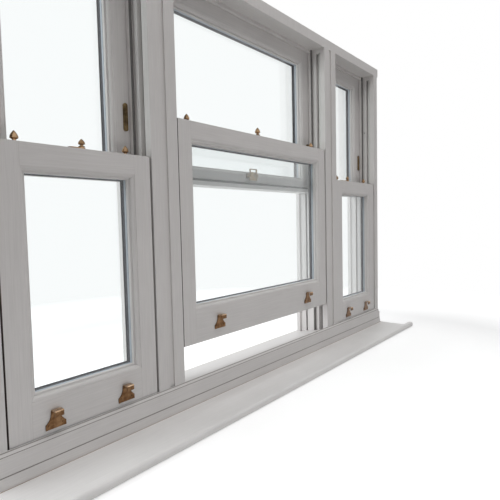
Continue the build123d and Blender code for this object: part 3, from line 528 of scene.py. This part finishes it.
def tufts(low, high):
    """Sections along X, one a tuft. With h(k) the fraction of 43758.5453 sin(12.9898 k) and worn patches
    u = TUFT_UNEVEN (1 + sin(300 x) sin(185 x + 1)), section i has its tips at low y + 0.6 u h(i), its
    upper edge lowered by u h(i + 0.3) and its lower edge raised by 0.5 u h(i + 0.7)."""
    count = int((high[0] - low[0]) / TUFT_PITCH) + 1
    i = np.arange(count)

    def h(k):
        wave = 43758.5453 * np.sin(12.9898 * k)
        return wave - np.floor(wave)

    x = np.linspace(low[0], high[0], count)
    worn = TUFT_UNEVEN * (1 + np.sin(300 * x) * np.sin(185 * x + 1))
    tip = low[1] + 0.6 * worn * h(i)
    top = high[2] - worn * h(i + 0.3)
    foot = low[2] + 0.5 * worn * h(i + 0.7)
    back = np.full(count, high[1])
    y = np.stack([back, tip, tip, back], axis=1)
    z = np.stack([np.full(count, low[2]), foot, top, np.full(count, high[2])], axis=1)
    return np.stack([np.broadcast_to(x[:, None], y.shape), y, z], axis=-1)


for light in LIGHTS:
    glaze("lower_" + light)
    glaze("upper_" + light)

for light in LIGHTS:
    turn_fastener(light)
    turn_latch(light, "left")
    turn_latch(light, "right")

for light in LIGHTS:
    brush = "upper_" + light + "_brush"
    surface(brush + "_tufts", [tufts(*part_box(brush))], pile, "upper_" + light + "_sash", brush)


# Floor, light and camera

FLOOR_HALF = 30.0
FLOOR_Z = -0.0004       # just clear of the sill's underside
FLOOR_FADES = (0.9, 2.4)    # it turns white between these distances from the middle


def pale_when_seen(tree):
    """1 for rays of the camera, of reflections and through glass."""
    path = node(tree, "LightPath")
    total = path.outputs["Is Camera Ray"]
    for other in ("Is Glossy Ray", "Is Transmission Ray"):
        both = node(tree, "Math", operation="MAXIMUM")
        tree.links.new(total, both.inputs[0])
        tree.links.new(path.outputs[other], both.inputs[1])
        total = both.outputs[0]
    return total


def lay_floor():
    """Pale floor that keeps the shadows near the window and fades to white further out."""
    mesh = bpy.data.meshes.new("floor")
    corners = rectangle((-FLOOR_HALF, -FLOOR_HALF), (FLOOR_HALF, FLOOR_HALF))
    mesh.from_pydata([(x, y, FLOOR_Z) for x, y in corners], [], [(0, 1, 2, 3)])
    floor = bpy.data.objects.new("floor", mesh)
    bpy.context.scene.collection.objects.link(floor)
    finish, tree, shader = material("floor_pale")
    shader.inputs["Roughness"].default_value = 0.9
    shader.inputs["Specular IOR Level"].default_value = 0.0
    shader.inputs["Emission Color"].default_value = (*WHITE, 1.0)
    distance = node(tree, "VectorMath", operation="LENGTH")
    tree.links.new(node(tree, "TexCoord").outputs["Object"], distance.inputs[0])
    far = node(tree, "MapRange")
    far.inputs["From Min"].default_value, far.inputs["From Max"].default_value = FLOOR_FADES
    tree.links.new(distance.outputs["Value"], far.inputs["Value"])
    pale = tones(tree, grain(tree, (1.0, 1.0, 1.0), 4.0), (0.72, 0.72, 0.72), (0.74, 0.74, 0.74))
    shade = tones(tree, far.outputs["Result"], WHITE, BLACK, 0.0, 1.0)
    tree.links.new(multiply(tree, pale, shade), shader.inputs["Base Color"])
    glow = node(tree, "Math", operation="MULTIPLY")
    tree.links.new(spread(tree, far.outputs["Result"], 0.5, 1.0), glow.inputs[0])
    tree.links.new(pale_when_seen(tree), glow.inputs[1])
    tree.links.new(glow.outputs[0], shader.inputs["Emission Strength"])
    mesh.materials.append(finish)


def light_world():
    """White where it is seen, and a soft cool light for the rest."""
    world = bpy.data.worlds.new("studio")
    bpy.context.scene.world = world
    world.use_nodes = True
    tree = world.node_tree
    ambient = tree.nodes["Background"]
    ambient.inputs["Color"].default_value = (0.93, 0.96, 1.0, 1.0)
    ambient.inputs["Strength"].default_value = 0.2
    white = node(tree, "Background")
    white.inputs["Color"].default_value = (*WHITE, 1.0)
    white.inputs["Strength"].default_value = 1.0
    choose = node(tree, "MixShader")
    tree.links.new(pale_when_seen(tree), choose.inputs[0])
    tree.links.new(ambient.outputs[0], choose.inputs[1])
    tree.links.new(white.outputs[0], choose.inputs[2])
    tree.links.new(choose.outputs[0], tree.nodes["World Output"].inputs["Surface"])


def lamp(name, place, target, width, height, power, colour):
    """Soft box lamp turned towards its target."""
    light = bpy.data.lights.new(name, "AREA")
    light.shape = "RECTANGLE"
    light.size, light.size_y = width, height
    light.energy = power
    light.color = colour
    made = bpy.data.objects.new(name, light)
    made.location = place
    made.rotation_euler = (Vector(target) - Vector(place)).to_track_quat("-Z", "Y").to_euler()
    bpy.context.scene.collection.objects.link(made)
    made.visible_glossy = False
    made.visible_camera = False
    made.visible_transmission = False


lay_floor()
light_world()
lamp("lamp_sky", (0.0, 1.7, 3.3), (0.0, 0.0, 0.4), 5.0, 2.4, 100.0, (0.97, 0.99, 1.0))
lamp("lamp_garden", (-3.9, 1.5, 1.0), (0.4, 0.1, 0.6), 3.0, 2.2, 120.0, (0.97, 0.99, 1.0))
lamp("lamp_lawn", (0.0, 1.1, 0.02), (0.0, 0.5, 1.0), 5.0, 1.2, 14.0, (1.0, 1.0, 0.98))
lamp("lamp_top", (0.0, -0.7, 3.0), (0.0, -0.1, 0.0), 3.0, 1.2, 33.0, (1.0, 0.98, 0.96))
lamp("lamp_room", (-2.8, -3.2, 1.3), (0.0, 0.0, 0.7), 4.0, 2.4, 10.0, (1.0, 0.96, 0.945))
lamp("lamp_low", (-0.2, -1.15, 0.03), (-0.2, -0.7, 1.0), 4.0, 0.6, 15.0, (1.0, 0.97, 0.95))

CAMERA_PLACE = (-1.3655, -1.024, 0.587)
YAW, PITCH, ROLL = (math.radians(angle) for angle in (50.78, 3.38, -1.25))
ahead = Vector((math.sin(YAW), math.cos(YAW), 0.0))
right = Vector((math.cos(YAW), -math.sin(YAW), 0.0))
up = Vector((0.0, 0.0, 1.0))
forward = math.cos(PITCH) * ahead - math.sin(PITCH) * up
above = math.sin(PITCH) * ahead + math.cos(PITCH) * up
across = math.cos(ROLL) * right + math.sin(ROLL) * above
over = -math.sin(ROLL) * right + math.cos(ROLL) * above
turn = Matrix((across, over, -forward)).transposed()
view = bpy.data.cameras.new("camera")
view.sensor_width = 36.0
view.lens = 32.4
view.shift_y = -0.002
view.clip_start = 0.05
view.clip_end = 100.0
camera = bpy.data.objects.new("camera", view)
camera.matrix_world = Matrix.Translation(CAMERA_PLACE) @ turn.to_4x4()
bpy.context.scene.collection.objects.link(camera)
bpy.context.scene.camera = camera
bpy.context.scene.view_settings.view_transform = "Standard"
